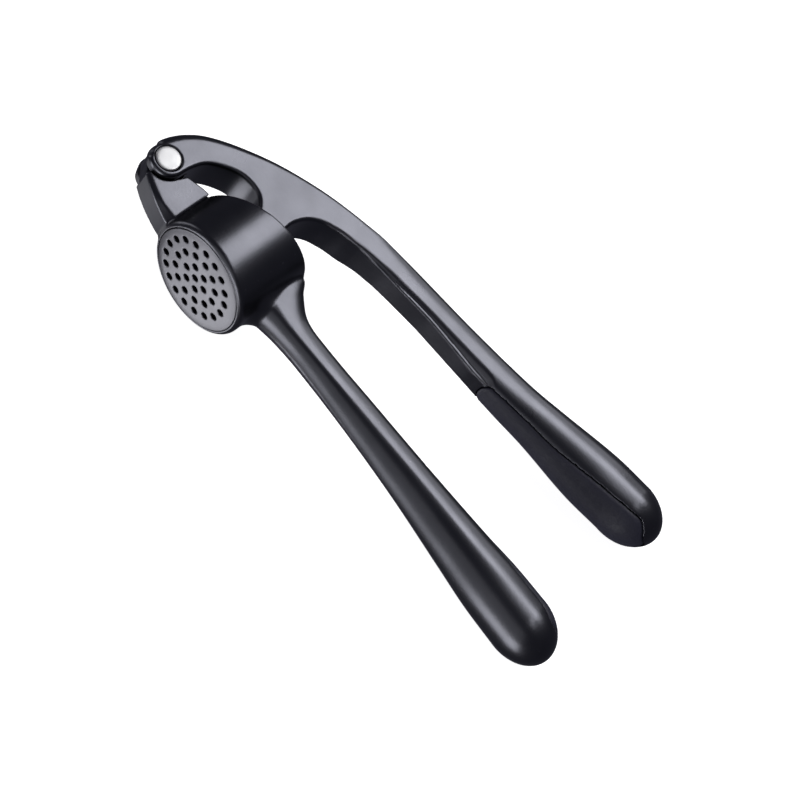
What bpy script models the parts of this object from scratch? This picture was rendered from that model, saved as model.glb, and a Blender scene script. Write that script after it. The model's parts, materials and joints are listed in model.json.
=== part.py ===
"""Garlic press lying on its side, as an assembly of separate parts.

Lengths are in millimetres in the design frame below and become metres when a mesh is made.
Design frame: the origin is the middle of the sieve's outer face. x runs along the lower
handle from hinge to tip, y runs up the cup towards the upper handle, z is sideways along
the hinge pin. The press rests on the cup's side and on both handle ends.
"""
import math

import bmesh
import bpy
from mathutils import Matrix, Vector

MM = 0.001
GAP = 0.3

# Cup and sieve
CUP_RADIUS = 17.4
CUP_FILLET = 2.5
BORE_RADIUS = 15.9
SEAT_RADIUS = 15.45
SEAT_HEIGHT = 2.2
RIM_MIDDLE = 22.1
RIM_SLOPE = 0.34
RIM_SHIFT = -0.7
SIEVE_THICKNESS = 2.0
HOLE_RADIUS = 1.0
HOLE_PITCH = 4.0
HOLE_RINGS = 3

# Hinge
PIVOT = (-31.7, 12.1)
LEVER_HALF_WIDTH = 6.7
CHEEK_RADIUS = 5.6
ARM_HALF_WIDTH = 4.6
EYE_HALF_WIDTH = 3.0
EYE_RADIUS = 5.7
SLOT_RADIUS = 6.3
PIN_RADIUS = 2.2
PIN_HEAD_RADIUS = 3.8
PIN_HEAD_HEIGHT = 1.0

# Plunger
PLUNGER_PIN = (0.5, 7.4)
PLUNGER_PIN_RADIUS = 1.1
PLUNGER_RADIUS = 14.6
PLUNGER_BOTTOM = 2.5
PLUNGER_THICKNESS = 2.4
TONGUE_RADIUS = 2.2
LUG_THICKNESS = 2.2
LUG_RADIUS = 2.4

# Handles: x, middle height, rise above it, drop below it, half width, and how square the
# upper and the lower half of the section are (2 is round, more is squarer, less is pointed)
LOWER_HANDLE = [
    (9.0, 13.2, 13.6, 6.6, 6.4, 4.5, 1.9),
    (17.0, 13.2, 13.4, 6.4, 6.3, 4.5, 1.9),
    (20.5, 13.2, 10.7, 5.1, 6.0, 4.0, 1.8),
    (27.0, 13.4, 7.3, 3.9, 5.2, 3.0, 1.8),
    (36.0, 14.0, 6.7, 3.6, 5.0, 2.6, 1.7),
    (58.0, 15.8, 6.7, 4.8, 5.4, 2.5, 1.65),
    (81.0, 17.2, 7.1, 6.3, 6.5, 2.4, 1.65),
    (104.0, 18.1, 8.5, 7.9, 8.1, 2.2, 1.8),
    (117.0, 18.8, 9.6, 9.0, 9.0, 2.1, 1.9),
    (130.0, 19.7, 9.8, 9.5, 9.3, 2.0, 2.0),
]
LOWER_TIP = 142.5
UPPER_HANDLE = [
    (11.0, 49.1, 4.5, 4.5, 6.65, 9.0, 9.0),
    (20.0, 51.5, 5.6, 3.9, 6.0, 5.0, 5.0),
    (28.0, 53.3, 6.4, 3.9, 5.4, 3.5, 4.0),
    (37.0, 55.4, 6.7, 4.4, 5.0, 2.8, 4.0),
    (57.0, 59.6, 5.9, 5.5, 5.3, 2.7, 4.0),
    (78.0, 63.4, 6.4, 7.0, 6.5, 2.4, 2.6),
    (90.0, 66.2, 7.2, 8.0, 7.4, 2.25, 2.25),
    (109.0, 70.2, 9.1, 10.1, 9.3, 2.1, 2.1),
    (122.0, 72.7, 9.5, 9.9, 9.7, 2.0, 2.0),
]
UPPER_TIP = 134.9
RING_POINTS = 36
STATION_STEP = 5.0
TIP_STEPS = 7

# Grip inserts, set into the inner faces of the two handles
GRIP_SHARE = 0.76
GRIP_EDGE = 1.0
GRIP_START_ROUND = 9.0
GRIP_END_ROUND = 12.0
UPPER_GRIP_SPAN = (70.0, 133.0)
LOWER_GRIP_SPAN = (78.0, 140.5)

EDGE_ROUND = 1.2
ARM_ROUND = 1.3
EDGE_STEPS = 3

METAL = ("gunmetal", (0.075, 0.076, 0.086), 0.34, 0.9)
SIEVE_METAL = ("sieve_metal", (0.11, 0.11, 0.125), 0.42, 0.9)
CHROME = ("polished_steel", (0.82, 0.82, 0.83), 0.16, 1.0)
RUBBER = ("soft_black_grip", (0.028, 0.028, 0.031), 0.72, 0.0)


def clear_scene():
    for item in list(bpy.data.objects):
        bpy.data.objects.remove(item, do_unlink=True)


def make_collection(name):
    collection = bpy.data.collections.new(name)
    bpy.context.scene.collection.children.link(collection)
    return collection


def make_material(name, colour, roughness, metallic):
    material = bpy.data.materials.new(name)
    material.use_nodes = True
    shader = material.node_tree.nodes["Principled BSDF"]
    shader.inputs["Base Color"].default_value = (*colour, 1.0)
    shader.inputs["Roughness"].default_value = roughness
    shader.inputs["Metallic"].default_value = metallic
    material.diffuse_color = (*colour, 1.0)
    return material


def make_object(name, bm, collection, material=None):
    """Turn a bmesh in millimetres into an object in metres."""
    bmesh.ops.remove_doubles(bm, verts=bm.verts, dist=0.0005)
    bmesh.ops.recalc_face_normals(bm, faces=bm.faces)
    bmesh.ops.scale(bm, vec=(MM, MM, MM), verts=bm.verts)
    mesh = bpy.data.meshes.new(name)
    bm.to_mesh(mesh)
    bm.free()
    item = bpy.data.objects.new(name, mesh)
    collection.objects.link(item)
    if material:
        mesh.materials.append(material)
    return item


def make_cutter(name, bm, collection):
    cutter = make_object(name, bm, collection)
    cutter.hide_render = True
    cutter.display_type = "WIRE"
    return cutter


def add_boolean(item, operation, cutter):
    modifier = item.modifiers.new(cutter.name, "BOOLEAN")
    modifier.operation = operation
    modifier.solver = "EXACT"
    modifier.object = cutter


def round_edges(item, width, segments, angle=40.0):
    bevel = item.modifiers.new("rounded_edges", "BEVEL")
    bevel.width = width * MM
    bevel.segments = segments
    bevel.limit_method = "ANGLE"
    bevel.angle_limit = math.radians(angle)


def smooth(item, angle=35.0):
    item.data.shade_smooth()
    item.data.set_sharp_from_angle(angle=math.radians(angle))


def spline(keys, x):
    """Smooth values between rows of keys, whose first column is x."""
    if x <= keys[0][0]:
        return list(keys[0][1:])
    if x >= keys[-1][0]:
        return list(keys[-1][1:])
    i = max(k for k in range(len(keys) - 1) if keys[k][0] <= x)
    before, left, right, after = (keys[max(i - 1, 0)], keys[i], keys[i + 1],
                                  keys[min(i + 2, len(keys) - 1)])
    span = right[0] - left[0]
    t = (x - left[0]) / span
    values = []
    for column in range(1, len(left)):
        slope_left = (right[column] - before[column]) / (right[0] - before[0])
        slope_right = (after[column] - left[column]) / (after[0] - left[0])
        values.append((2 * t**3 - 3 * t**2 + 1) * left[column]
                      + (t**3 - 2 * t**2 + t) * span * slope_left
                      + (3 * t**2 - 2 * t**3) * right[column]
                      + (t**3 - t**2) * span * slope_right)
    return values


def curve_through(points, steps):
    """A smooth line through outline points, with steps pieces between each pair."""
    keys = [(index, *point) for index, point in enumerate(points)]
    count = (len(points) - 1) * steps
    return [tuple(spline(keys, index / steps)) for index in range(count + 1)]


def arc(centre, radius, start, end, steps):
    """Points on an arc, with the angles in degrees."""
    angles = [math.radians(start + (end - start) * k / steps) for k in range(steps + 1)]
    return [(centre[0] + radius * math.cos(a), centre[1] + radius * math.sin(a)) for a in angles]


def loft(rings):
    """A closed bmesh through rings of points; a ring of one point is a tip."""
    bm = bmesh.new()
    rows = [[bm.verts.new(point) for point in ring] for ring in rings]
    for row, following in zip(rows, rows[1:]):
        count = max(len(row), len(following))
        for k in range(count):
            corners = [row[k % len(row)], row[(k + 1) % len(row)],
                       following[(k + 1) % len(following)], following[k % len(following)]]
            bm.faces.new(list(dict.fromkeys(corners)))
    for row in (rows[0], rows[-1]):
        if len(row) > 2:
            bm.faces.new(row)
    return bm


def plate(outline, low, high):
    """A flat plate: an outline in x and y, thick in z from low to high."""
    return loft([[(x, y, z) for x, y in outline] for z in (low, high)])


def rod(centre, radius, low, high, segments=32):
    """A round rod along z."""
    bm = bmesh.new()
    middle = Matrix.Translation((centre[0], centre[1], (low + high) / 2))
    bmesh.ops.create_cone(bm, cap_ends=True, segments=segments, radius1=radius,
                          radius2=radius, depth=high - low, matrix=middle)
    return bm


def turned(profile, segments=64, slope=0.0, shift=0.0):
    """A solid turned about the cup's axis from (radius, height) points, bottom to top.

    The last ring is tilted by slope and moved along x by shift, so that a rim can lean.
    """
    rings = []
    for index, (radius, height) in enumerate(profile):
        last = index == len(profile) - 1
        ring = []
        for k in range(segments):
            angle = 2 * math.pi * k / segments
            x = radius * math.cos(angle) + (shift if last else 0.0)
            z = radius * math.sin(angle)
            ring.append((x, height + (slope * x if last else 0.0), z))
        rings.append(ring)
    return loft(rings)


def section(keys, x, tip):
    """The handle's section values at x; past the last key they shrink to the tip."""
    end = keys[-1][0]
    middle, rise, drop, half_width, square_up, square_down = spline(keys, x)
    shrink = math.sqrt(max(0.0, 1 - ((x - end) / (tip - end)) ** 2)) if x > end else 1.0
    return middle, rise * shrink, drop * shrink, half_width * shrink, square_up, square_down


def handle_ring(keys, x, tip):
    middle, rise, drop, half_width, square_up, square_down = section(keys, x, tip)
    if half_width < 0.01:
        return [(x, middle, 0.0)]
    ring = []
    for k in range(RING_POINTS):
        angle = 2 * math.pi * k / RING_POINTS
        across, up = math.cos(angle), math.sin(angle)
        power = 2 / (square_up if up >= 0 else square_down)
        height = rise if up >= 0 else -drop
        ring.append((x, middle + height * abs(up) ** power,
                     half_width * math.copysign(abs(across) ** power, across)))
    return ring


def handle_stations(keys, tip):
    start, end = keys[0][0], keys[-1][0]
    count = round((end - start) / STATION_STEP)
    straight = [start + (end - start) * k / count for k in range(count)]
    rounded = [end + (tip - end) * math.sin(math.pi / 2 * k / TIP_STEPS) for k in range(TIP_STEPS + 1)]
    return straight + rounded


def handle(keys, tip):
    return loft([handle_ring(keys, x, tip) for x in handle_stations(keys, tip)])


def grip_tray(keys, tip, span, side, gap):
    """The pocket of a grip insert. side is -1 under a handle and 1 on top of it."""
    rings = []
    steps = 24
    first, last = span[0] - gap, span[1] + gap
    for k in range(steps + 1):
        x = first + (last - first) * (0.5 - 0.5 * math.cos(math.pi * k / steps))
        middle, rise, drop, half_width, square_up, square_down = section(keys, x, tip)
        from_start = min(1.0, (x - first) / GRIP_START_ROUND)
        from_end = min(1.0, (last - x) / GRIP_END_ROUND)
        fullness = math.sqrt(max(0.0, (2 - from_start) * from_start * (2 - from_end) * from_end))
        reach = rise if side > 0 else drop
        power = square_up if side > 0 else square_down
        edge = reach * (1 - GRIP_SHARE ** power) ** (1 / power)
        floor = middle + side * (edge - GRIP_EDGE - gap)
        outside = middle + side * 16.0
        across = max(0.15, GRIP_SHARE * half_width * fullness + gap)
        rings.append([(x, floor, -across), (x, floor, across),
                      (x, outside, across), (x, outside, -across)])
    return loft(rings)


def cup_solid():
    corner = CUP_RADIUS - CUP_FILLET
    fillet = [(corner + CUP_FILLET * math.sin(a), CUP_FILLET - CUP_FILLET * math.cos(a))
              for a in (math.pi / 2 * k / 5 for k in range(6))]
    return turned(fillet + [(CUP_RADIUS, RIM_MIDDLE)], slope=RIM_SLOPE, shift=RIM_SHIFT)


def cup_bore():
    profile = [(SEAT_RADIUS - 0.05, -1.0), (SEAT_RADIUS, 0.0), (BORE_RADIUS, SEAT_HEIGHT),
               (BORE_RADIUS, 40.0)]
    return turned(profile, 60)


def arm_outline():
    """The lower casting's hinge arm, from the pivot to inside the cup's wall."""
    x, y = PIVOT
    belly = curve_through([(x + 0.4, 4.7), (-28.2, 3.1), (-24.5, 1.8), (-19.5, 1.4), (-14.0, 1.4)], 4)
    return [(x + 0.4, y - 3.2), *belly, (-14.0, 16.9), (-19.0, 16.9), (-24.9, 15.3), (x + 6.4, y),
            (x + 3.4, y)]


def lever_outline():
    """The upper casting's head: cheek, arch, web into the cup, second arch and back."""
    pin_x, pin_y = PLUNGER_PIN
    cheek = arc(PIVOT, CHEEK_RADIUS, 190, 360, 18)
    arch = curve_through([cheek[-1], (-26.1, 16.5), (-25.2, 21.0), (-22.6, 24.7), (-18.3, 28.2),
                          (-14.2, 29.5), (-10.3, 29.3), (-7.4, 27.4), (-6.2, 25.6)], 3)
    web_left = [(-3.7, 22.5)]
    tongue = arc(PLUNGER_PIN, TONGUE_RADIUS, 180, 360, 12)
    web_right = [(pin_x + TONGUE_RADIUS, 25.0)]
    throat = curve_through([(2.3, 29.5), (1.9, 33.2), (2.7, 37.0), (4.2, 39.7), (6.2, 41.7),
                            (8.6, 43.2), (11.0, 44.6), (14.0, 46.0)], 3)
    back = curve_through([(14.0, 54.6), (7.0, 52.2), (0.0, 49.4), (-7.5, 45.8), (-14.8, 41.7),
                          (-21.6, 37.0), (-28.0, 31.9), (-33.4, 25.6), (-35.8, 21.4),
                          (-37.0, 17.2), cheek[0]], 3)
    return cheek + arch[1:] + web_left + tongue + web_right + throat + back[:-1]


def build_lower_casting(parts, cutters, metal):
    casting = make_object("lower_handle", handle(LOWER_HANDLE, LOWER_TIP), parts, metal)
    cup = make_cutter("cup_body", cup_solid(), cutters)
    arm = make_cutter("hinge_arm", plate(arm_outline(), -ARM_HALF_WIDTH, ARM_HALF_WIDTH), cutters)
    round_edges(arm, ARM_ROUND, EDGE_STEPS)
    eye = rod(PIVOT, EYE_RADIUS, -EYE_HALF_WIDTH - 0.5, EYE_HALF_WIDTH + 0.5, 48)
    add_boolean(casting, "UNION", cup)
    add_boolean(casting, "UNION", arm)
    add_boolean(casting, "UNION", make_cutter("hinge_eye", eye, cutters))
    add_boolean(casting, "DIFFERENCE", make_cutter("cup_bore", cup_bore(), cutters))
    for side, label in ((1, "near"), (-1, "far")):
        low, high = sorted((side * EYE_HALF_WIDTH, side * (ARM_HALF_WIDTH + 4)))
        pocket = rod(PIVOT, CHEEK_RADIUS + GAP, low, high, 48)
        cutter = make_cutter(f"cheek_pocket_{label}", pocket, cutters)
        add_boolean(casting, "DIFFERENCE", cutter)
    hole = make_cutter("eye_hole", rod(PIVOT, PIN_RADIUS + GAP, -9, 9), cutters)
    add_boolean(casting, "DIFFERENCE", hole)
    tray = grip_tray(LOWER_HANDLE, LOWER_TIP, LOWER_GRIP_SPAN, 1, GAP)
    add_boolean(casting, "DIFFERENCE", make_cutter("lower_grip_pocket", tray, cutters))
    return casting


def build_sieve(parts, cutters, metal):
    seat = GAP
    taper = (BORE_RADIUS - SEAT_RADIUS) / SEAT_HEIGHT
    top_radius = SEAT_RADIUS - seat + taper * SIEVE_THICKNESS
    sieve = make_object("sieve_plate", turned([(SEAT_RADIUS - seat, 0.0), (top_radius, SIEVE_THICKNESS)]),
                        parts, metal)
    holes = bmesh.new()
    upright = Matrix.Rotation(math.pi / 2, 4, "X")
    for ring in range(HOLE_RINGS + 1):
        for k in range(max(1, 6 * ring)):
            angle = 2 * math.pi * k / max(1, 6 * ring)
            centre = Vector((math.cos(angle), 0, math.sin(angle))) * HOLE_PITCH * ring
            bmesh.ops.create_cone(holes, cap_ends=True, segments=14, radius1=HOLE_RADIUS,
                                  radius2=HOLE_RADIUS, depth=3 * SIEVE_THICKNESS,
                                  matrix=Matrix.Translation(centre) @ upright)
    add_boolean(sieve, "DIFFERENCE", make_cutter("sieve_holes", holes, cutters))
    return sieve


def build_upper_casting(parts, cutters, metal):
    head = make_object("upper_handle", plate(lever_outline(), -LEVER_HALF_WIDTH, LEVER_HALF_WIDTH),
                       parts, metal)
    round_edges(head, EDGE_ROUND, EDGE_STEPS)
    add_boolean(head, "UNION", make_cutter("handle_body", handle(UPPER_HANDLE, UPPER_TIP), cutters))
    slot = rod(PIVOT, SLOT_RADIUS, -EYE_HALF_WIDTH - GAP, EYE_HALF_WIDTH + GAP, 48)
    add_boolean(head, "DIFFERENCE", make_cutter("eye_slot", slot, cutters))
    hole = rod(PIVOT, PIN_RADIUS + GAP, -9, 9)
    add_boolean(head, "DIFFERENCE", make_cutter("cheek_hole", hole, cutters))
    for side, label in ((1, "near"), (-1, "far")):
        floor = LEVER_HALF_WIDTH - PIN_HEAD_HEIGHT - GAP
        low, high = sorted((side * floor, side * 9))
        recess = rod(PIVOT, PIN_HEAD_RADIUS + GAP, low, high)
        add_boolean(head, "DIFFERENCE", make_cutter(f"head_recess_{label}", recess, cutters))
    pin_hole = rod(PLUNGER_PIN, PLUNGER_PIN_RADIUS + GAP, -9, 9, 20)
    add_boolean(head, "DIFFERENCE", make_cutter("tongue_hole", pin_hole, cutters))
    tray = grip_tray(UPPER_HANDLE, UPPER_TIP, UPPER_GRIP_SPAN, -1, GAP)
    add_boolean(head, "DIFFERENCE", make_cutter("upper_grip_pocket", tray, cutters))
    return head


def build_grip(name, keys, tip, span, side, parts, cutters, material):
    """A grip insert is the handle's own skin, cut out by the pocket's shape."""
    grip = make_object(name, handle(keys, tip), parts, material)
    tray = make_cutter(name + "_outline", grip_tray(keys, tip, span, side, 0.0), cutters)
    add_boolean(grip, "INTERSECT", tray)
    return grip


def build_pivot_pin(parts, cutters, material):
    """The headed pin, and the cap that closes its far end."""
    top = LEVER_HALF_WIDTH + 0.1
    head = rod(PIVOT, PIN_HEAD_RADIUS, top - PIN_HEAD_HEIGHT, top)
    pin = make_object("pivot_pin", head, parts, material)
    round_edges(pin, 0.25, 2)
    shank = rod(PIVOT, PIN_RADIUS, GAP - top + PIN_HEAD_HEIGHT, top - PIN_HEAD_HEIGHT / 2)
    add_boolean(pin, "UNION", make_cutter("pin_shank", shank, cutters))
    cap = make_object("pivot_cap", rod(PIVOT, PIN_HEAD_RADIUS, -top, PIN_HEAD_HEIGHT - top),
                      parts, material)
    round_edges(cap, 0.25, 2)
    return pin, cap


def lug_outline():
    """A plunger lug: it stands on the disc and is round about the plunger's pin."""
    x, y = PLUNGER_PIN
    foot = PLUNGER_BOTTOM + PLUNGER_THICKNESS / 2
    return [(x - 4.4, foot), (x + 4.4, foot)] + arc(PLUNGER_PIN, LUG_RADIUS, 20, 160, 12)


def build_plunger(parts, cutters, metal, steel):
    top = PLUNGER_BOTTOM + PLUNGER_THICKNESS
    edge = 0.4
    profile = [(PLUNGER_RADIUS - edge, PLUNGER_BOTTOM), (PLUNGER_RADIUS, PLUNGER_BOTTOM + edge),
               (PLUNGER_RADIUS, top - edge), (PLUNGER_RADIUS - edge, top)]
    plunger = make_object("plunger", turned(profile, 56), parts, metal)
    inner = LEVER_HALF_WIDTH + GAP
    for side, label in ((1, "near"), (-1, "far")):
        low, high = sorted((side * inner, side * (inner + LUG_THICKNESS)))
        lug = make_cutter(f"lug_{label}", plate(lug_outline(), low, high), cutters)
        add_boolean(plunger, "UNION", lug)
    hole = rod(PLUNGER_PIN, PLUNGER_PIN_RADIUS + GAP, -12, 12, 20)
    add_boolean(plunger, "DIFFERENCE", make_cutter("lug_hole", hole, cutters))
    reach = inner + LUG_THICKNESS
    pin = make_object("plunger_pin", rod(PLUNGER_PIN, PLUNGER_PIN_RADIUS, -reach, reach, 20),
                      parts, steel)
    return plunger, pin


def add_empty(name, place, parent, collection):
    """An empty at a place in the design frame, under another empty at its own place."""
    empty = bpy.data.objects.new(name, None)
    empty.empty_display_size = 0.01
    collection.objects.link(empty)
    if parent:
        empty.parent = parent
        empty.location = (Vector((*place, 0.0)) - Vector((*parent["place"], 0.0))) * MM
    empty["place"] = place
    return empty


def hang(item, empty):
    """Put an object's origin on its empty, and parent it there."""
    offset = Vector((*empty["place"], 0.0)) * MM
    item.data.transform(Matrix.Translation(-offset))
    item.parent = empty


def rest_tilt():
    """The lean at which the cup's side and the lower handle's end both touch the table."""
    x, half_width = LOWER_HANDLE[-1][0], LOWER_HANDLE[-1][4]
    return math.asin(CUP_RADIUS / math.hypot(x, half_width)) - math.atan2(half_width, x)


def stand_on_table(root, parts):
    """Tilt the press to its rest, lowest point at zero and the box centred on the origin."""
    root.rotation_euler = (0.0, rest_tilt(), 0.0)
    bpy.context.view_layer.update()
    graph = bpy.context.evaluated_depsgraph_get()
    corners = []
    for item in parts.objects:
        if item.type == "MESH":
            shape = item.evaluated_get(graph)
            corners += [shape.matrix_world @ vertex.co for vertex in shape.data.vertices]
    low = [min(corner[axis] for corner in corners) for axis in range(3)]
    high = [max(corner[axis] for corner in corners) for axis in range(3)]
    root.location = (-(low[0] + high[0]) / 2, -(low[1] + high[1]) / 2, -low[2])
    bpy.context.view_layer.update()


def main():
    clear_scene()
    parts = make_collection("garlic_press")
    cutters = make_collection("construction")
    metal = make_material(*METAL)
    sieve_metal = make_material(*SIEVE_METAL)
    chrome = make_material(*CHROME)
    rubber = make_material(*RUBBER)

    root = add_empty("press_root", (0.0, 0.0), None, parts)
    lever_hinge = add_empty("lever_hinge", PIVOT, root, parts)
    plunger_hinge = add_empty("plunger_hinge", PLUNGER_PIN, lever_hinge, parts)

    lower = [build_lower_casting(parts, cutters, metal),
             build_sieve(parts, cutters, sieve_metal),
             build_grip("lower_grip", LOWER_HANDLE, LOWER_TIP, LOWER_GRIP_SPAN, 1,
                        parts, cutters, rubber)]
    upper = [build_upper_casting(parts, cutters, metal),
             build_grip("upper_grip", UPPER_HANDLE, UPPER_TIP, UPPER_GRIP_SPAN, -1,
                        parts, cutters, rubber),
             *build_pivot_pin(parts, cutters, chrome)]
    press = build_plunger(parts, cutters, metal, chrome)

    for group, empty in ((lower, root), (upper, lever_hinge), (press, plunger_hinge)):
        for item in group:
            smooth(item)
            for modifier in item.modifiers:
                if modifier.type == "BOOLEAN" and modifier.object.parent is None:
                    hang(modifier.object, empty)
            hang(item, empty)
    stand_on_table(root, parts)


main()
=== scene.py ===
import json
import math

import bpy
import numpy as np
from mathutils import Matrix, Vector


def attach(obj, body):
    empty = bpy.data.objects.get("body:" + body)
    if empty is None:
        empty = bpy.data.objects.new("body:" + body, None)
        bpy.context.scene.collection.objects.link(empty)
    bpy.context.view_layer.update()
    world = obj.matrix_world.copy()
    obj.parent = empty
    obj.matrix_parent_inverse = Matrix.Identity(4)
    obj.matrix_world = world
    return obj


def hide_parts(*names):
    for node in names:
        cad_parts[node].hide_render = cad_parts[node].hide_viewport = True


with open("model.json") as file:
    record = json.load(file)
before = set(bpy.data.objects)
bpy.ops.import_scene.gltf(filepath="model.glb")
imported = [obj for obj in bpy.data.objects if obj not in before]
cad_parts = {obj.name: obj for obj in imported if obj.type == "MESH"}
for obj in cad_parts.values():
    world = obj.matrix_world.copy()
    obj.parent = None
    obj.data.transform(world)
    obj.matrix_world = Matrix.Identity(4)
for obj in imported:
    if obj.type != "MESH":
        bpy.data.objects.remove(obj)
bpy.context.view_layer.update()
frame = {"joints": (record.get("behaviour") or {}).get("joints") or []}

# Lengths are in millimetres in the press's own frame: the origin is the sieve's middle hole
# at its outer face, x runs along the lower handle from hinge to tip, y runs up the cup
# towards the upper handle, and z is sideways along the hinge pin.
MM = 0.001

# ---- Cup and sieve ----
CUP_RADIUS = 17.4
CUP_FOOT_ROUND = 1.4
CUP_RIM_ROUND = 0.5
BORE_RADIUS = 15.9
SEAT_HEIGHT = 2.2
RIM_MIDDLE = 22.1
RIM_SLOPE = 0.34
# The cup's middle is at these x at its rim and at its foot, because its wall leans
RIM_SHIFT = -0.7
FOOT_SHIFT = 0.8
# The face under the cup is flat up to this radius and then falls back as a square
FACE_FLAT_RADIUS = 13.6
FACE_FALL = 0.03
SIEVE_RADIUS = 15.85
SIEVE_THICKNESS = 2.0
SIEVE_BACK_ROUND = 0.2
SEAM_ROUND = 0.12
HOLE_RADIUS = 1.0
HOLE_ROUND = 0.32
HOLE_PITCH = 4.0
HOLE_RINGS = 3

# ---- Hinge ----
PIVOT = (-31.7, 12.1)
LEVER_HALF_WIDTH = 6.7
CHEEK_RADIUS = 5.6
SLOT_RADIUS = 6.6
SLOT_ROUND = 0.3
ARM_HALF_WIDTH = 4.6
ARM_EDGE_ROUND = 0.35
CHAMFER_ROUND = 0.25
EYE_HALF_WIDTH = 3.0
EYE_RADIUS = 5.2
EYE_EDGE_ROUND = 0.3
EYE_HOLE_ROUND = 0.2
# The rim's plane is raised over the hinge arm, so that it only cuts the cup
ARM_TOP_RISE = 6.0
ARM_TOP_SPAN = (-18.4, -17.4)
PIN_RADIUS = 2.2
PIN_CHAMFER = 0.2
PIN_HEAD_RADIUS = 3.8
PIN_HEAD_HEIGHT = 1.0
PIN_HEAD_PROUD = 0.1
GAP = 0.3

# ---- Plunger ----
PLUNGER_PIN = (0.5, 7.4)
PLUNGER_PIN_RADIUS = 1.1
PLUNGER_RADIUS = 14.6
PLUNGER_BOTTOM = 2.5
PLUNGER_THICKNESS = 2.4
PLUNGER_ROUND = 0.4
TONGUE_RADIUS = 2.2
LUG_THICKNESS = 2.2
LUG_RADIUS = 2.4
LUG_FOOT = 4.4
LUG_TAPER = 0.35
LUG_ROOT = 1.0
LUG_FILLET = 0.6

# ---- Handles ----
# Sections: x, middle height, rise above it, drop below it, half width, and how square the
# upper and the lower half are
LOWER_HANDLE = [
    (9.0, 13.2, 13.6, 6.6, 6.4, 4.5, 1.9),
    (17.0, 13.2, 13.7, 6.4, 6.3, 4.5, 1.9),
    (20.5, 13.2, 10.7, 5.1, 6.0, 4.0, 1.8),
    (27.0, 13.4, 7.3, 3.9, 5.2, 3.0, 1.8),
    (36.0, 14.0, 6.7, 3.6, 5.0, 2.6, 1.7),
    (58.0, 15.8, 6.7, 4.8, 5.4, 2.5, 1.65),
    (81.0, 17.2, 7.1, 6.3, 6.5, 2.4, 1.65),
    (104.0, 18.1, 8.5, 7.9, 8.1, 2.2, 1.8),
    (117.0, 18.8, 9.6, 9.0, 9.0, 2.1, 1.9),
    (130.0, 19.7, 9.8, 9.5, 9.3, 2.0, 2.0),
]
LOWER_TIP = 142.8
UPPER_HANDLE = [
    (11.0, 49.1, 4.5, 4.5, 6.65, 9.0, 9.0),
    (20.0, 51.5, 5.6, 3.4, 6.0, 6.0, 6.0),
    (28.0, 53.3, 6.4, 3.85, 5.5, 4.0, 4.6),
    (37.0, 55.4, 6.7, 4.5, 5.05, 2.9, 4.2),
    (57.0, 59.6, 5.9, 5.5, 5.3, 2.7, 4.0),
    (78.0, 63.4, 6.4, 7.0, 6.5, 2.4, 2.6),
    (90.0, 66.2, 7.2, 8.0, 7.4, 2.25, 2.25),
    (109.0, 70.2, 9.1, 9.9, 9.3, 2.1, 2.1),
    (122.0, 72.7, 9.4, 9.9, 9.7, 2.0, 1.95),
]
UPPER_TIP = 134.9
# How fast the middle line still rises past the last section, for each handle
UPPER_LEAN = 0.09
LOWER_LEAN = 0.0
UPPER_GRIP_SPAN = (70.0, 133.7)
LOWER_GRIP_SPAN = (78.0, 140.5)
# How much of the handle's width an insert takes, from its start (0) to its end (1)
GRIP_SHARE = [
    (0.0, 0.64), (0.1, 0.675), (0.2, 0.67), (0.3, 0.655), (0.36, 0.652), (0.43, 0.67),
    (0.5, 0.71), (0.56, 0.74), (0.62, 0.767), (0.69, 0.787), (0.75, 0.797), (0.81, 0.81),
    (0.875, 0.842), (0.935, 0.885), (1.0, 0.89),
]
# How far an insert goes in past its visible edge, and how round its ends and edges are
GRIP_EDGE = 1.0
GRIP_START_ROUND = 2.5
GRIP_END_ROUND = 8.0
GRIP_FLOOR_ROUND = 0.2
POCKET_ROUND = 0.3
INSERT_ROUND = 0.5

# ---- Blends between the shapes of a casting ----
ARM_FILLET = 0.8
HANDLE_BELOW_RIM = 0.5
# The fillet between cup and handle grows by FOOT_FILLET from the upper height to the lower one
HANDLE_FILLET = 0.9
FOOT_FILLET = 2.4
FOOT_FILLET_HEIGHTS = (8.0, 20.0)
# Where along x the upper lever's flat head turns into its round handle
HEAD_TO_HANDLE = (9.0, 25.0)

# ---- Grid steps of the meshes ----
NET_STEP = 0.34
PLUNGER_STEP = 0.3
FINE_STEP = 0.22


# ---- Curves ----
def spline(keys, x):
    """Smooth values between rows of keys, whose first column is x."""
    if x <= keys[0][0]:
        return list(keys[0][1:])
    if x >= keys[-1][0]:
        return list(keys[-1][1:])
    i = max(k for k in range(len(keys) - 1) if keys[k][0] <= x)
    before, left, right, after = (keys[max(i - 1, 0)], keys[i], keys[i + 1],
                                  keys[min(i + 2, len(keys) - 1)])
    span = right[0] - left[0]
    t = (x - left[0]) / span
    values = []
    for column in range(1, len(left)):
        slope_left = (right[column] - before[column]) / (right[0] - before[0])
        slope_right = (after[column] - left[column]) / (after[0] - left[0])
        values.append((2 * t**3 - 3 * t**2 + 1) * left[column]
                      + (t**3 - 2 * t**2 + t) * span * slope_left
                      + (3 * t**2 - 2 * t**3) * right[column]
                      + (t**3 - t**2) * span * slope_right)
    return values


def curve_through(points, steps):
    """Points on a smooth curve through the given ones, with steps between each two."""
    keys = [(index, *point) for index, point in enumerate(points)]
    count = (len(points) - 1) * steps
    return [tuple(spline(keys, index / steps)) for index in range(count + 1)]


def arc(centre, radius, start, end, steps):
    """Points on a round arc, from start to end in degrees."""
    angles = [math.radians(start + (end - start) * k / steps) for k in range(steps + 1)]
    return [(centre[0] + radius * math.cos(a), centre[1] + radius * math.sin(a)) for a in angles]


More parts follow.
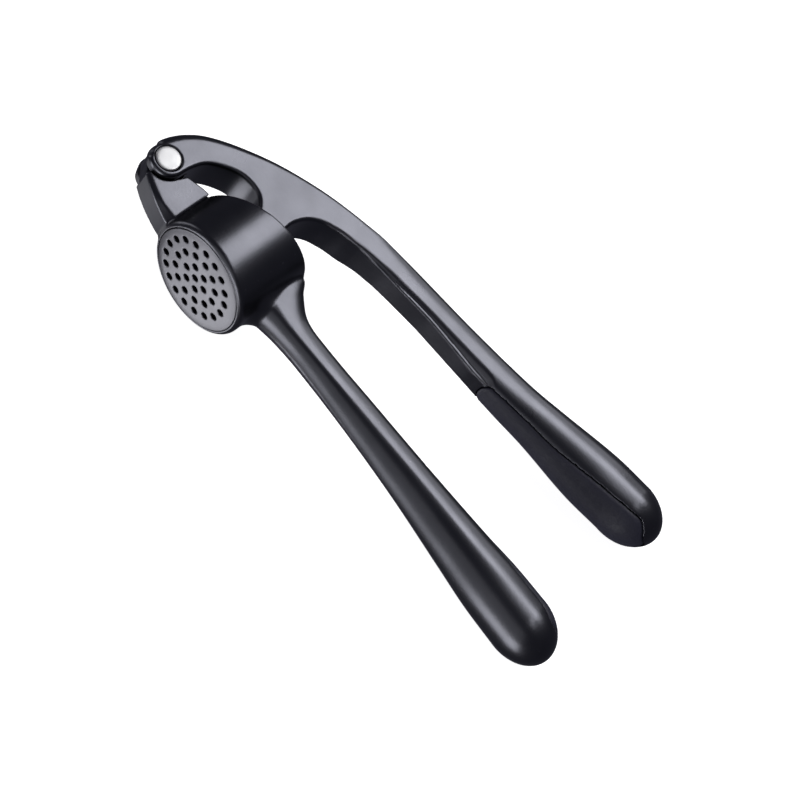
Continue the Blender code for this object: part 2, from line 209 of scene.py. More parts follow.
def table_of(keys, samples=600):
    """A fast reader of smooth values: it returns the columns of keys at an array of x."""
    places = np.linspace(keys[0][0], keys[-1][0], samples)
    rows = np.array([spline(keys, float(place)) for place in places])
    return lambda x: [np.interp(x, places, rows[:, column]) for column in range(rows.shape[1])]


# ---- Distance fields: less than 0 inside, in millimetres ----
def smooth_step(low, high, value):
    """0 up to low, 1 from high on, and smooth between them."""
    t = np.clip((value - low) / (high - low), 0.0, 1.0)
    return t * t * (3 - 2 * t)


def round_max(a, b, radius):
    """What is in both a and b, with a rounded outer corner."""
    outside = np.hypot(np.maximum(a + radius, 0), np.maximum(b + radius, 0))
    return np.minimum(np.maximum(a, b), -radius) + outside


def round_min(a, b, radius):
    """a and b joined with a round fillet."""
    return -round_max(-a, -b, radius)


def outline_field(points, cell=0.2, margin=9.0):
    """The distance to a closed outline in x and y, read from a fine grid."""
    points = np.array(points)
    low = points.min(0) - margin
    size = np.ceil((points.max(0) + margin - low) / cell).astype(int) + 1
    x, y = np.meshgrid(low[0] + cell * np.arange(size[0]), low[1] + cell * np.arange(size[1]),
                       indexing="ij")
    nearest = np.full(x.shape, 1e9)
    inside = np.zeros(x.shape, bool)
    for a, b in zip(points, np.roll(points, -1, 0)):
        edge = b - a
        length = edge @ edge
        if length < 1e-12:
            continue
        t = np.clip(((x - a[0]) * edge[0] + (y - a[1]) * edge[1]) / length, 0, 1)
        nearest = np.minimum(nearest, (x - a[0] - t * edge[0])**2 + (y - a[1] - t * edge[1])**2)
        if a[1] != b[1]:
            crosses = (a[1] > y) != (b[1] > y)
            inside ^= crosses & (x < edge[0] * (y - a[1]) / edge[1] + a[0])
    grid = np.sqrt(nearest) * np.where(inside, -1, 1)

    def field(px, py):
        u = np.clip((px - low[0]) / cell, 0, size[0] - 1.001)
        v = np.clip((py - low[1]) / cell, 0, size[1] - 1.001)
        i, j = u.astype(int), v.astype(int)
        u, v = u - i, v - j
        return ((grid[i, j] * (1 - u) + grid[i + 1, j] * u) * (1 - v)
                + (grid[i, j + 1] * (1 - u) + grid[i + 1, j + 1] * u) * v)
    return field


def rod_field(centre, radius, x, y):
    """A round rod along z."""
    return np.hypot(x - centre[0], y - centre[1]) - radius


def handle_field(keys, tip, lean):
    """A handle through its sections, with a round end from the last section to the tip."""
    columns = table_of(keys)
    start, end = keys[0][0], keys[-1][0]

    def field(x, y, z):
        middle, rise, drop, half_width, square_up, square_down = columns(x)
        middle = middle + lean * np.maximum(x - end, 0)
        upper = y >= middle
        height = np.where(upper, rise, drop)
        power = np.where(upper, square_up, square_down)
        up = np.abs(y - middle) / height
        across = np.abs(z) / half_width
        size = np.maximum((up**power + across**power)**(1 / power), 1e-6)
        past = np.maximum(x - end, 0) / (tip - end)
        whole = np.hypot(size, past)
        slope = np.hypot((up / size)**(power - 1) / height,
                         (across / size)**(power - 1) / half_width) * size / whole
        slope = np.hypot(slope, past / whole / (tip - end))
        return np.maximum((whole - 1) / np.maximum(slope, 1e-4), start - x)
    return field


lower_handle_field = handle_field(LOWER_HANDLE, LOWER_TIP, LOWER_LEAN)
upper_handle_field = handle_field(UPPER_HANDLE, UPPER_TIP, UPPER_LEAN)


def grip_field(keys, tip, lean, span, side, grow):
    """The space of a grip insert, made larger by grow. side is 1 on top, -1 underneath."""
    columns = table_of(keys)
    end = keys[-1][0]
    first, last = span[0] - grow, span[1] + grow
    shares = table_of(GRIP_SHARE)

    def field(x, y, z):
        middle, rise, drop, half_width, square_up, square_down = columns(x)
        middle = middle + lean * np.maximum(x - end, 0)
        shrink = np.sqrt(np.maximum(0, 1 - (np.maximum(x - end, 0) / (tip - end))**2))
        from_start = np.clip((x - first) / GRIP_START_ROUND, 0, 1)
        from_end = np.clip((last - x) / GRIP_END_ROUND, 0, 1)
        full = np.sqrt(np.maximum(0, (2 - from_start) * from_start * (2 - from_end) * from_end))
        reach = (rise if side > 0 else drop) * shrink
        power = square_up if side > 0 else square_down
        share = shares((x - span[0]) / (span[1] - span[0]))[0]
        edge = reach * (1 - share**power)**(1 / power)
        floor = middle + side * (edge - GRIP_EDGE - grow)
        across = np.abs(z) - (share * half_width * shrink * full + grow)
        ends = np.maximum(first - x, x - last)
        return round_max(np.maximum(across, ends), side * (floor - y), GRIP_FLOOR_ROUND)
    return field


def cup_field(x, y, z):
    """The distance from the cup's middle line, and the height above its slanted rim."""
    middle = FOOT_SHIFT + (RIM_SHIFT - FOOT_SHIFT) * y / RIM_MIDDLE
    radial = np.hypot(x - middle, z)
    above = (y - RIM_MIDDLE - RIM_SLOPE * x) / math.hypot(1, RIM_SLOPE)
    return radial, above


# The hinge arm's lower edge, from the eye to the cup
ARM_EDGE = curve_through([(-31.6, 4.8), (-30.4, 4.3), (-28.6, 3.6), (-26.7, 3.0), (-24.2, 2.3),
                          (-22.0, 1.85), (-19.7, 1.45), (-17.4, 1.15), (-13.0, 1.0)], 3)
ARM_CHAMFER = [
    # x, y and z of the chamfer's lower edge, then of its upper edge
    (-31.5, 4.8, 4.1, 5.9, 4.6),
    (-28.4, 3.5, 3.9, 4.8, 4.6),
    (-25.0, 2.5, 3.75, 3.9, 4.6),
    (-21.9, 1.85, 3.4, 3.3, 4.6),
    (-17.4, 1.15, 3.1, 3.5, 4.6),
]
arm_chamfer = table_of(ARM_CHAMFER)
arm_field = outline_field([(-31.3, PIVOT[1] - 3.2)] + ARM_EDGE
                          + [(-13.0, 17.2), (-17.2, 17.5), (-20.0, 16.8), (-22.3, 15.9),
                             (-24.9, 14.9), (-25.8, 11.6), (-28.3, 11.0)])
eye_field = outline_field(arc(PIVOT, EYE_RADIUS, 0, 228, 50)
                          + [point for point in ARM_EDGE if point[0] > -31.0]
                          + [(-13.0, 10.0), (-24.0, 10.0)])


def foot_rise(x, z):
    """How far the face under the cup falls back towards its edge."""
    past = np.maximum(np.hypot(x - FOOT_SHIFT, z) - FACE_FLAT_RADIUS, 0)
    return FACE_FALL * past**2


def lower_casting(x, y, z):
    """The cup with its bore, the lower handle, the hinge arm and the eye."""
    radial, above = cup_field(x, y, z)
    side = np.abs(z)
    cup = round_max(radial - CUP_RADIUS, foot_rise(x, z) - y, CUP_FOOT_ROUND)
    handle = np.maximum(lower_handle_field(x, y, z), above + HANDLE_BELOW_RIM)
    low = 1 - smooth_step(*FOOT_FILLET_HEIGHTS, y)
    body = round_min(cup, handle, HANDLE_FILLET + FOOT_FILLET * low)

    y_low, z_low, y_high, z_high = arm_chamfer(x)
    length = np.hypot(z_high - z_low, y_high - y_low)
    chamfer = ((y_high - y_low) * (z - z_low) - (z_high - z_low) * (y - y_low)) / length
    arm = round_max(arm_field(x, y), side - ARM_HALF_WIDTH, ARM_EDGE_ROUND)
    arm = round_max(arm, chamfer, CHAMFER_ROUND)
    cut = np.maximum(rod_field(PIVOT, CHEEK_RADIUS + GAP, x, y), EYE_HALF_WIDTH - side)
    arm = round_max(arm, -cut, CHAMFER_ROUND)
    eye = round_max(eye_field(x, y), side - EYE_HALF_WIDTH, EYE_EDGE_ROUND)
    body = round_min(body, np.minimum(arm, eye), ARM_FILLET)

    rim = above - ARM_TOP_RISE * (1 - smooth_step(*ARM_TOP_SPAN, x))
    body = round_max(body, rim, CUP_RIM_ROUND)
    # The bore is round the sieve at its foot, and round the origin above the sieve
    bore_middle = FOOT_SHIFT * (1 - np.clip(y / SEAT_HEIGHT, 0, 1))
    body = round_max(body, BORE_RADIUS - np.hypot(x - bore_middle, z), SEAM_ROUND)
    body = round_max(body, -rod_field(PIVOT, PIN_RADIUS + GAP, x, y), EYE_HOLE_ROUND)
    return round_max(body, -lower_grip_pocket(x, y, z), POCKET_ROUND)


def lever_outline():
    """The upper lever's head from the side: cheek, arch, tongue, throat and back."""
    cheek = arc(PIVOT, CHEEK_RADIUS, 172, 360, 40)
    arch = curve_through([cheek[-1], (-26.1, 16.5), (-25.2, 21.0), (-22.6, 24.7), (-18.3, 28.2),
                          (-14.2, 29.5), (-10.3, 29.3), (-7.4, 27.4), (-6.2, 25.6)], 6)
    tongue = arc(PLUNGER_PIN, TONGUE_RADIUS, 180, 360, 20)
    throat = curve_through([(2.3, 29.5), (1.9, 33.2), (2.7, 37.0), (4.2, 39.7), (6.2, 41.7),
                            (8.6, 43.2), (11.0, 44.5), (14.0, 45.6), (19.0, 47.0),
                            (27.0, 49.3)], 6)
    back = curve_through([(27.0, 59.5), (20.0, 57.1), (14.0, 54.6), (7.0, 52.2), (0.0, 49.5),
                          (-7.5, 46.0), (-14.9, 42.0), (-21.8, 37.4), (-28.4, 32.1),
                          (-33.2, 27.0), (-35.9, 22.4), (-37.3, 18.4), (-37.9, 14.6),
                          cheek[0]], 6)
    tongue_front, tongue_back = (-3.7, 22.5), (2.7, 25.0)
    return cheek + arch[1:] + [tongue_front] + tongue + [tongue_back] + throat + back[:-1]


head_field = outline_field(lever_outline())
# The line between the head's inner and back edges, and how round each of them is
HEAD_MIDDLE = table_of([(-39.0, 4.0), (-36.0, 7.5), (-31.7, 13.0), (-27.0, 22.0), (-20.0, 32.0),
                        (-10.0, 38.0), (0.0, 43.0), (10.0, 48.0), (25.0, 54.0)])
EDGE_CHANGE = 2.0
INNER_EDGE_ROUND = 1.1
BACK_EDGE_ROUND = table_of([(-39.0, 3.0), (-28.0, 3.0), (-15.0, 2.2), (0.0, 1.5), (25.0, 1.3)])
STRIP = [
    # x, the flat strip's half width, the heights of its face and of the ledge beside it,
    # and the ledge's slope
    (8.0, 3.5, 41.0, 40.0, 0.0), (11.0, 3.5, 44.0, 43.0, 0.0), (14.0, 5.8, 46.0, 45.0, 0.2),
    (17.0, 5.6, 47.0, 46.6, 0.4), (20.0, 5.4, 48.0, 47.9, 0.5), (24.0, 5.0, 49.1, 49.25, 0.55),
    (28.0, 4.6, 50.05, 50.4, 0.55), (37.0, 4.3, 51.7, 52.5, 0.55), (45.0, 4.2, 53.1, 54.0, 0.55),
    (51.0, 4.1, 53.8, 54.75, 0.55), (57.0, 3.9, 54.4, 55.4, 0.55), (64.0, 3.7, 55.0, 56.0, 0.55),
    (68.0, 3.7, 55.6, 56.4, 0.5), (71.0, 3.7, 55.6, 56.1, 0.4), (76.0, 3.7, 52.0, 52.0, 0.3),
]
strip_at = table_of(STRIP)
STRIP_EDGE_ROUND = 0.45
# Before its first row the strip falls away from the lever at this slope
STRIP_FALL = 20.0
# The ledge's edge gets rounder along this stretch of x
LEDGE_ROUND = 0.8
LEDGE_ROUND_MORE = 0.5
LEDGE_ROUND_SPAN = (20.0, 30.0)


def with_strip(body, x, y, side):
    """The flat strip under the upper handle, with a ledge beside it."""
    half_width, face, ledge, slope = strip_at(x)
    before = STRIP_FALL * np.maximum(STRIP[0][0] - x, 0)
    face, ledge = face - before, ledge - before
    rise = (ledge + slope * np.maximum(side - half_width, 0) - y) / np.hypot(1, slope)
    edge_round = LEDGE_ROUND + LEDGE_ROUND_MORE * smooth_step(*LEDGE_ROUND_SPAN, x)
    outer = round_max(body, rise, edge_round)
    strip = round_max(side - half_width, face - y, STRIP_EDGE_ROUND)
    return np.minimum(outer, np.maximum(body, strip))


def upper_casting(x, y, z):
    """The head with its cheeks and tongue, and the upper handle."""
    side = np.abs(z)
    back = smooth_step(-EDGE_CHANGE, EDGE_CHANGE, y - HEAD_MIDDLE(x)[0])
    edge_round = INNER_EDGE_ROUND + (BACK_EDGE_ROUND(x)[0] - INNER_EDGE_ROUND) * back
    head = round_max(head_field(x, y), side - LEVER_HALF_WIDTH, edge_round)
    handle = upper_handle_field(np.maximum(x, UPPER_HANDLE[0][0]), y, z)
    handle_share = smooth_step(*HEAD_TO_HANDLE, x)
    body = head * (1 - handle_share) + handle * handle_share
    body = with_strip(body, x, y, side)

    slot = np.maximum(rod_field(PIVOT, SLOT_RADIUS, x, y), side - EYE_HALF_WIDTH - GAP)
    body = round_max(body, -slot, SLOT_ROUND)
    body = np.maximum(body, -rod_field(PIVOT, PIN_RADIUS + GAP, x, y))
    recess = np.maximum(rod_field(PIVOT, PIN_HEAD_RADIUS + GAP, x, y),
                        LEVER_HALF_WIDTH - PIN_HEAD_HEIGHT - GAP - side)
    body = round_max(body, -recess, SLOT_ROUND)
    body = np.maximum(body, -rod_field(PLUNGER_PIN, PLUNGER_PIN_RADIUS + GAP, x, y))
    return round_max(body, -upper_grip_pocket(x, y, z), POCKET_ROUND)


upper_grip_pocket = grip_field(UPPER_HANDLE, UPPER_TIP, UPPER_LEAN, UPPER_GRIP_SPAN, -1, GAP)
lower_grip_pocket = grip_field(LOWER_HANDLE, LOWER_TIP, LOWER_LEAN, LOWER_GRIP_SPAN, 1, GAP)
upper_grip_space = grip_field(UPPER_HANDLE, UPPER_TIP, UPPER_LEAN, UPPER_GRIP_SPAN, -1, 0.0)
lower_grip_space = grip_field(LOWER_HANDLE, LOWER_TIP, LOWER_LEAN, LOWER_GRIP_SPAN, 1, 0.0)


def upper_grip(x, y, z):
    """The upper handle's insert, which fills its pocket to the handle's own surface."""
    return round_max(upper_handle_field(x, y, z), upper_grip_space(x, y, z), INSERT_ROUND)


def lower_grip(x, y, z):
    """The lower handle's insert, in the same way."""
    return round_max(lower_handle_field(x, y, z), lower_grip_space(x, y, z), INSERT_ROUND)


def sieve(x, y, z):
    """The sieve's plate: a middle hole and rings of 6, 12 and 18 round it."""
    radial = np.hypot(x - FOOT_SHIFT, z)
    plate = round_max(radial - SIEVE_RADIUS, foot_rise(x, z) - y, SEAM_ROUND)
    plate = round_max(plate, y - SIEVE_THICKNESS, SIEVE_BACK_ROUND)
    for ring in range(HOLE_RINGS + 1):
        for k in range(max(1, 6 * ring)):
            angle = 2 * math.pi * k / max(1, 6 * ring)
            hole = HOLE_RADIUS - np.hypot(x - HOLE_PITCH * ring * math.cos(angle),
                                          z - HOLE_PITCH * ring * math.sin(angle))
            plate = round_max(plate, hole, HOLE_ROUND)
    return plate


def plunger(x, y, z):
    """The plunger's disc with a lug on each side of the lever's tongue."""
    side = np.abs(z)
    top = PLUNGER_BOTTOM + PLUNGER_THICKNESS
    disc = round_max(np.hypot(x, z) - PLUNGER_RADIUS, np.maximum(PLUNGER_BOTTOM - y, y - top),
                     PLUNGER_ROUND)
    flank = np.abs(x - PLUNGER_PIN[0]) - LUG_FOOT + LUG_TAPER * (y - top)
    lug = np.maximum(np.maximum(flank, top - LUG_ROOT - y), y - PLUNGER_PIN[1])
    lug = np.minimum(lug, rod_field(PLUNGER_PIN, LUG_RADIUS, x, y))
    inner = LEVER_HALF_WIDTH + GAP
    lug = round_max(lug, np.maximum(inner - side, side - inner - LUG_THICKNESS),
                    PLUNGER_ROUND)
    body = round_min(disc, lug, LUG_FILLET)
    return np.maximum(body, -rod_field(PLUNGER_PIN, PLUNGER_PIN_RADIUS + GAP, x, y))


# ---- Meshes ----
def sampled(field, low, step, counts, coarse=4, band=1.5):
    """The field on a grid: exact within band coarse cells of the surface, rough elsewhere."""
    blocks = [-(-count // coarse) for count in counts]
    centres = [low[a] + step * (coarse * np.arange(blocks[a]) + (coarse - 1) / 2) for a in range(3)]
    rough = field(*np.meshgrid(*centres, indexing="ij"))
    near = np.abs(rough) < step * coarse * band
    values = rough.repeat(coarse, 0).repeat(coarse, 1).repeat(coarse, 2)
    near = near.repeat(coarse, 0).repeat(coarse, 1).repeat(coarse, 2)
    places = np.nonzero(near)
    values[near] = field(*(low[a] + step * places[a] for a in range(3)))
    return values[:counts[0], :counts[1], :counts[2]]


def surface_net(values, low, step):
    """Vertices and four-sided faces of the surface where the values change sign."""
    inside = values < 0
    shape = np.array(values.shape) - 1
    corners = [(i, j, k) for i in (0, 1) for j in (0, 1) for k in (0, 1)]
    part = [inside[i:i + shape[0], j:j + shape[1], k:k + shape[2]] for i, j, k in corners]
    count = sum(p.astype(np.int8) for p in part)
    cells = np.argwhere((count > 0) & (count < 8))
    number = np.full(shape, -1)
    number[tuple(cells.T)] = np.arange(len(cells))
    corner_values = [values[tuple((cells + c).T)] for c in corners]
    total = np.zeros((len(cells), 3))
    hits = np.zeros(len(cells))
    for a in range(8):
        for b in range(a + 1, 8):
            step_between = np.array(corners[b]) - np.array(corners[a])
            if np.abs(step_between).sum() != 1:
                continue
            va, vb = corner_values[a], corner_values[b]
            crossing = (va < 0) != (vb < 0)
            t = np.where(crossing, va / np.where(crossing, va - vb, 1), 0)
            total += crossing[:, None] * (np.array(corners[a]) + t[:, None] * step_between)
            hits += crossing
    points = np.array(low) + step * (cells + total / hits[:, None])
    faces = []
    for axis in range(3):
        one, two = (axis + 1) % 3, (axis + 2) % 3
        first = np.swapaxes(inside, 0, axis)[:-1]
        second = np.swapaxes(inside, 0, axis)[1:]
        edges = np.argwhere(first != second)
        edges[:, [0, axis]] = edges[:, [axis, 0]]
        edges = edges[(edges[:, one] > 0) & (edges[:, two] > 0)
                      & (edges[:, one] < shape[one]) & (edges[:, two] < shape[two])]
        back_one, back_two = np.eye(3, dtype=int)[one], np.eye(3, dtype=int)[two]
        ring = [edges - back_one - back_two, edges - back_two, edges, edges - back_one]
        quads = np.stack([number[tuple(cell.T)] for cell in ring], 1)
        outward = inside[tuple(edges.T)]
        faces.append(np.where(outward[:, None], quads, quads[:, ::-1]))
    return points, np.concatenate(faces)


def settle(field, points, rounds=4, small=0.02, longest=0.15, flattest=0.25):
    """Move points onto the field's zero surface, by no more than longest in a round."""
    for _ in range(rounds):
        value = field(*points.T)
        slope = np.stack([(field(*(points + small * unit).T) - field(*(points - small * unit).T))
                          / (2 * small) for unit in np.eye(3)], 1)
        size = np.maximum((slope**2).sum(1), flattest)
        points = points - np.clip(value / size, -longest, longest)[:, None] * slope
    return points


def mesh_object(name, points, faces):
    """An object in the world's frame, from points in the press's own."""
    mesh = bpy.data.meshes.new(name)
    mesh.from_pydata((points * MM).tolist(), [], [list(face) for face in faces])
    mesh.transform(PRESS_TO_WORLD)
    mesh.shade_smooth()
    item = bpy.data.objects.new(name, mesh)
    bpy.context.scene.collection.objects.link(item)
    return item


def field_object(name, field, low, high, step):
    """The surface of a field between two corners."""
    counts = [int((high[a] - low[a]) / step) + 2 for a in range(3)]
    values = sampled(field, low, step, counts)
    points, faces = surface_net(values, low, step)
    return mesh_object(name, settle(field, points), faces.tolist())


def turned_object(name, profile, centre, segments=96):
    """A solid turned about a line along z, from (radius, z) points."""
    points = [(*centre, profile[0][1])]
    faces = []
    for radius, height in profile:
        for k in range(segments):
            angle = 2 * math.pi * k / segments
            points.append((centre[0] + radius * math.cos(angle),
                           centre[1] + radius * math.sin(angle), height))
    points.append((*centre, profile[-1][1]))
    last = len(points) - 1
    for k in range(segments):
        after = (k + 1) % segments
        faces.append((0, 1 + after, 1 + k))
        for row in range(len(profile) - 1):
            base = 1 + row * segments
            faces.append((base + k, base + after, base + segments + after, base + segments + k))
        base = 1 + (len(profile) - 1) * segments
        faces.append((last, base + k, base + after))
    return mesh_object(name, np.array(points), faces)


# ---- Materials ----
def node_material(name, colour, metallic, roughness, **sockets):
    """A material with its node tree and shader. sockets has more of the shader's values."""
    material = bpy.data.materials.new(name)
    material.use_nodes = True
    shader = material.node_tree.nodes["Principled BSDF"]
    shader.inputs["Base Color"].default_value = (*colour, 1.0)
    shader.inputs["Metallic"].default_value = metallic
    shader.inputs["Roughness"].default_value = roughness
    for socket, value in sockets.items():
        shader.inputs[socket.replace("_", " ")].default_value = value
    return material, material.node_tree, shader


def add_node(tree, kind, **settings):
    """A node, with settings for its input sockets and its own options."""
    node = tree.nodes.new(kind)
    for key, value in settings.items():
        if key in node.inputs:
            node.inputs[key].default_value = value
        else:
            setattr(node, key, value)
    return node


def noise(tree, scale, detail=3.0):
    """Noise with scale cells to a metre."""
    place = tree.nodes.get("Texture Coordinate") or add_node(tree, "ShaderNodeTexCoord")
    node = add_node(tree, "ShaderNodeTexNoise", Scale=scale, Detail=detail)
    tree.links.new(place.outputs["Object"], node.inputs["Vector"])
    return node.outputs["Fac"]


def mapped(tree, value, low, high, to_low, to_high):
    """value with low to high stretched to to_low to to_high, and held at both ends."""
    node = add_node(tree, "ShaderNodeMapRange")
    for socket, number in (("From Min", low), ("From Max", high),
                           ("To Min", to_low), ("To Max", to_high)):
        node.inputs[socket].default_value = number
    tree.links.new(value, node.inputs["Value"])
    return node.outputs["Result"]


# Noise seldom goes past these values, so this is the range that is stretched
NOISE_LOW, NOISE_HIGH = 0.3, 0.7


def varied_gloss(tree, shader, scale, low, high):
    """Roughness that goes from low to high from place to place."""
    gloss = mapped(tree, noise(tree, scale), NOISE_LOW, NOISE_HIGH, low, high)
    tree.links.new(gloss, shader.inputs["Roughness"])


def bumped(tree, shader, height, distance):
    """Bump from height, which is distance metres deep."""
    bump = add_node(tree, "ShaderNodeBump", Strength=1.0, Distance=distance)
    tree.links.new(height, bump.inputs["Height"])
    tree.links.new(bump.outputs["Normal"], shader.inputs["Normal"])


def cast_metal(name, colour, worn, roughness):
    """Dark coated casting: fine grain, slow changes in gloss and lighter worn edges."""
    material, tree, shader = node_material(name, colour, metallic=1.0, roughness=roughness)
    edge = add_node(tree, "ShaderNodeNewGeometry").outputs["Pointiness"]
    mix = add_node(tree, "ShaderNodeMix", data_type="RGBA")
    mix.inputs["A"].default_value = (*colour, 1.0)
    mix.inputs["B"].default_value = (*worn, 1.0)
    wear = mapped(tree, edge, low=0.56, high=0.70, to_low=0.0, to_high=0.5)
    tree.links.new(wear, mix.inputs["Factor"])
    tint = add_node(tree, "ShaderNodeMix", data_type="RGBA", blend_type="MULTIPLY")
    tint.inputs["Factor"].default_value = 1.0
    tree.links.new(mix.outputs["Result"], tint.inputs["A"])
    blotches = noise(tree, scale=160.0, detail=4.0)
    tone = mapped(tree, blotches, NOISE_LOW, NOISE_HIGH, to_low=0.94, to_high=1.06)
    tree.links.new(tone, tint.inputs["B"])
    tree.links.new(tint.outputs["Result"], shader.inputs["Base Color"])
    varied_gloss(tree, shader, scale=45.0, low=roughness - 0.03, high=roughness + 0.03)
    bumped(tree, shader, noise(tree, scale=1300.0, detail=0.0), distance=0.00001)
    return material


def bright_steel():
    """Satin steel of the pins."""
    material, tree, shader = node_material("bright_steel", (0.52, 0.52, 0.525),
                                           metallic=1.0, roughness=0.45)
    varied_gloss(tree, shader, scale=300.0, low=0.42, high=0.5)
    bumped(tree, shader, noise(tree, scale=900.0), distance=0.000003)
    return material


def soft_black():
    """Matt, finely grained rubber of the inserts."""
    material, tree, shader = node_material("soft_black_insert", (0.028, 0.028, 0.044),
                                           metallic=0.0, roughness=0.5, Specular_IOR_Level=0.35)
    varied_gloss(tree, shader, scale=500.0, low=0.44, high=0.58)
    bumped(tree, shader, noise(tree, scale=1100.0), distance=0.00011)
    return material


# ---- Place of the press ----
hinge = next(joint for joint in frame["joints"] if joint["name"] == "lever_hinge")
lean_angle = math.atan2(hinge["axis"][0], hinge["axis"][2])
PRESS_TO_WORLD = (Matrix.Translation(Vector(hinge["pos_m"])) @ Matrix.Rotation(lean_angle, 4, "Y")
                  @ Matrix.Translation(-Vector((*PIVOT, 0.0)) * MM))

gunmetal = cast_metal("gunmetal_casting", colour=(0.085, 0.086, 0.098),
                      worn=(0.16, 0.16, 0.175), roughness=0.30)
sieve_metal = cast_metal("sieve_casting", colour=(0.10, 0.10, 0.112),
                         worn=(0.24, 0.24, 0.26), roughness=0.34)
steel = bright_steel()
rubber = soft_black()


# ---- Pieces ----
def finish_piece(piece, node, body, slot, material):
    """Give a piece its material and its body, and hide the CAD node it stands for. slot is not
    used.
    """
    piece.data.materials.append(material)
    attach(piece, body)
    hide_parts(node)


FIELD_PIECES = [
    # name, field, low and high corner, grid step, node, body, slot and material
    ("lower_casting", lower_casting, (-39.5, -1.0, -19.0), (144.0, 31.5, 19.0), NET_STEP,
     "lower_handle", "lower_lever", "gunmetal", gunmetal),
    ("upper_casting", upper_casting, (-39.5, 3.5, -11.0), (136.5, 84.0, 11.0), NET_STEP,
     "upper_handle", "upper_lever", "gunmetal", gunmetal),
    ("upper_insert", upper_grip, (69.0, 50.0, -9.0), (134.5, 75.0, 9.0), NET_STEP,
     "upper_grip", "upper_lever", "soft_black_grip", rubber),
    ("lower_insert", lower_grip, (77.0, 15.0, -9.0), (142.0, 31.5, 9.0), NET_STEP,
     "lower_grip", "lower_lever", "soft_black_grip", rubber),
    ("sieve_disc", sieve, (-17.0, -1.0, -17.5), (17.8, 3.0, 17.5), FINE_STEP,
     "sieve_plate", "lower_lever", "sieve_metal", sieve_metal),
    ("plunger_disc", plunger, (-15.5, 1.5, -15.5), (15.5, 11.0, 15.5), PLUNGER_STEP,
     "plunger", "plunger_group", "gunmetal", gunmetal),
]
for name, field, low, high, step, node, body, slot, material in FIELD_PIECES:
    finish_piece(field_object(name, field, low, high, step), node, body, slot, material)

# The pin's head stands a little proud of the cheek, and its face is slightly crowned
TOP = LEVER_HALF_WIDTH + PIN_HEAD_PROUD
HEAD_PROFILE = [(PIN_HEAD_RADIUS - 0.25, TOP - PIN_HEAD_HEIGHT), (PIN_HEAD_RADIUS, TOP - 0.75),
                (PIN_HEAD_RADIUS, TOP - 0.35), (PIN_HEAD_RADIUS - 0.12, TOP - 0.16),
                (PIN_HEAD_RADIUS - 0.35, TOP - 0.08), (PIN_HEAD_RADIUS * 0.7, TOP - 0.03),
                (PIN_HEAD_RADIUS * 0.35, TOP - 0.005)]
pin_end = GAP - TOP + PIN_HEAD_HEIGHT
pin = turned_object("hinge_pin", [(PIN_RADIUS - PIN_CHAMFER, pin_end),
                                  (PIN_RADIUS, pin_end + PIN_CHAMFER),
                                  (PIN_RADIUS, TOP - PIN_HEAD_HEIGHT)] + HEAD_PROFILE, PIVOT)
finish_piece(pin, "pivot_pin", "upper_lever", "polished_steel", steel)
cap = turned_object("hinge_pin_cap", [(r, -z) for r, z in reversed(HEAD_PROFILE)], PIVOT)
finish_piece(cap, "pivot_cap", "upper_lever", "polished_steel", steel)
reach = LEVER_HALF_WIDTH + GAP + LUG_THICKNESS
SMALL_PIN_PROFILE = [(PLUNGER_PIN_RADIUS - PIN_CHAMFER, -reach),
                     (PLUNGER_PIN_RADIUS, -reach + PIN_CHAMFER),
                     (PLUNGER_PIN_RADIUS, reach - PIN_CHAMFER),
                     (PLUNGER_PIN_RADIUS - PIN_CHAMFER, reach)]
small_pin = turned_object("plunger_hinge_pin", SMALL_PIN_PROFILE, PLUNGER_PIN, segments=40)
finish_piece(small_pin, "plunger_pin", "plunger_group", "polished_steel", steel)

# ---- Floor, light and camera, in metres ----
FLOOR_HALF = 1.6
floor_mesh = bpy.data.meshes.new("floor")
floor_mesh.from_pydata([(FLOOR_HALF * x, FLOOR_HALF * y, 0.0)
                        for x, y in ((-1, -1), (1, -1), (1, 1), (-1, 1))], [], [(0, 1, 2, 3)])
floor = bpy.data.objects.new("floor", floor_mesh)
bpy.context.scene.collection.objects.link(floor)
floor_material = node_material("white_paper", (0.9, 0.9, 0.9), metallic=0.0, roughness=0.9,
                               Emission_Color=(1.0, 1.0, 1.0, 1.0), Emission_Strength=0.92)[0]
floor_mesh.materials.append(floor_material)
floor.visible_glossy = False
floor.visible_shadow = False
floor.visible_diffuse = False


def soft_light(name, about, compass, height, distance, half_angles, brightness):
    """A soft box as seen from about. compass is its bearing from +Y towards +X in degrees."""
    lamp = bpy.data.lights.new(name, "AREA")
    lamp.shape = "RECTANGLE"
    lamp.size, lamp.size_y = (2 * distance * math.tan(math.radians(a)) for a in half_angles)
    lamp.energy = brightness * math.pi * lamp.size * lamp.size_y
    item = bpy.data.objects.new(name, lamp)
    bearing, rise = math.radians(compass), math.radians(height)
    direction = Vector((math.sin(bearing) * math.cos(rise), math.cos(bearing) * math.cos(rise),
                        math.sin(rise)))
    item.location = about + direction * distance
    item.rotation_euler = direction.to_track_quat("Z", "Y").to_euler()
    bpy.context.scene.collection.objects.link(item)


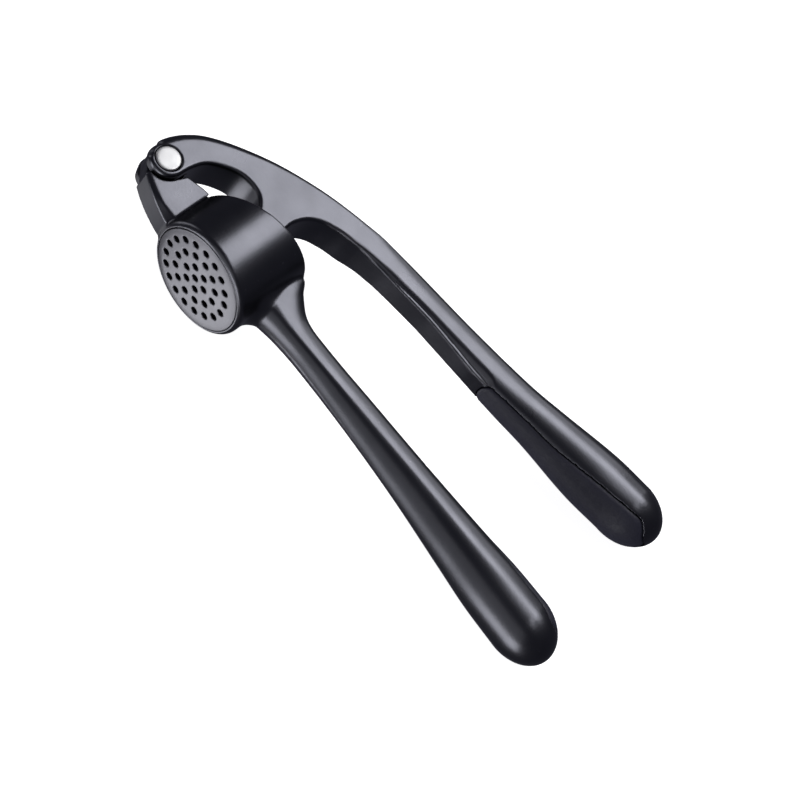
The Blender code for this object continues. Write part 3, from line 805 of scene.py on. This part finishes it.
MIDDLE = Vector((0.0, 0.0, 0.0))
SIEVE_PLACE = PRESS_TO_WORLD @ Vector((0.0, 0.0, 0.0))
ARM_PLACE = PRESS_TO_WORLD @ (Vector((-25.0, 2.0, 0.0)) * MM)
LIGHTS = [
    # name, the place that it is turned to, its bearing and its height in degrees, its
    # distance, the half angles that it fills and its brightness
    ("key_box", MIDDLE, 0.0, 57.0, 1.3, (19.0, 12.5), 3.4),
    ("key_core", MIDDLE, 2.0, 56.0, 1.25, (16.0, 4.5), 3.2),
    ("top_strip", MIDDLE, 55.0, 71.0, 1.3, (13.0, 4.5), 3.3),
    ("back_glow", MIDDLE, -8.0, 28.0, 1.3, (9.0, 18.0), 1.5),
    ("front_box", MIDDLE, 162.0, -8.0, 1.0, (17.0, 15.0), 3.8),
    ("front_glow", MIDDLE, 172.0, 20.0, 1.1, (26.0, 32.0), 0.4),
    ("left_front_strip", MIDDLE, -153.0, -17.0, 1.0, (9.0, 24.0), 3.8),
    ("left_strip", MIDDLE, -95.0, 0.0, 1.0, (8.0, 20.0), 1.5),
    ("low_box", SIEVE_PLACE, -172.0, -55.0, 0.2, (11.0, 11.0), 4.3),
    ("low_left_box", ARM_PLACE, -120.0, -54.0, 0.15, (14.0, 9.0), 0.7),
]
for light in LIGHTS:
    soft_light(*light)

world = bpy.data.worlds.new("studio")
bpy.context.scene.world = world
world.use_nodes = True
background = world.node_tree.nodes["Background"]
background.inputs["Color"].default_value = (0.45, 0.45, 0.58, 1.0)
background.inputs["Strength"].default_value = 0.16

# The camera's place in millimetres and its axes, in the press's own frame
CAMERA_PLACE = Vector((100.0745, -359.8393, 576.6593))
CAMERA_RIGHT = Vector((0.5870576, 0.6883233, 0.4261156))
CAMERA_BACK = Vector((0.0578218, -0.5606717, 0.8260169))
camera_data = bpy.data.cameras.new("camera")
camera_data.sensor_width = 36.0
camera_data.lens = 111.208
camera_data.clip_start = 0.01
camera = bpy.data.objects.new("camera", camera_data)
bpy.context.scene.collection.objects.link(camera)
camera_up = CAMERA_BACK.cross(CAMERA_RIGHT)
camera_turn = Matrix((CAMERA_RIGHT, camera_up, CAMERA_BACK)).transposed().to_4x4()
camera.matrix_world = PRESS_TO_WORLD @ Matrix.Translation(CAMERA_PLACE * MM) @ camera_turn
bpy.context.scene.camera = camera
bpy.context.scene.view_settings.view_transform = "Standard"
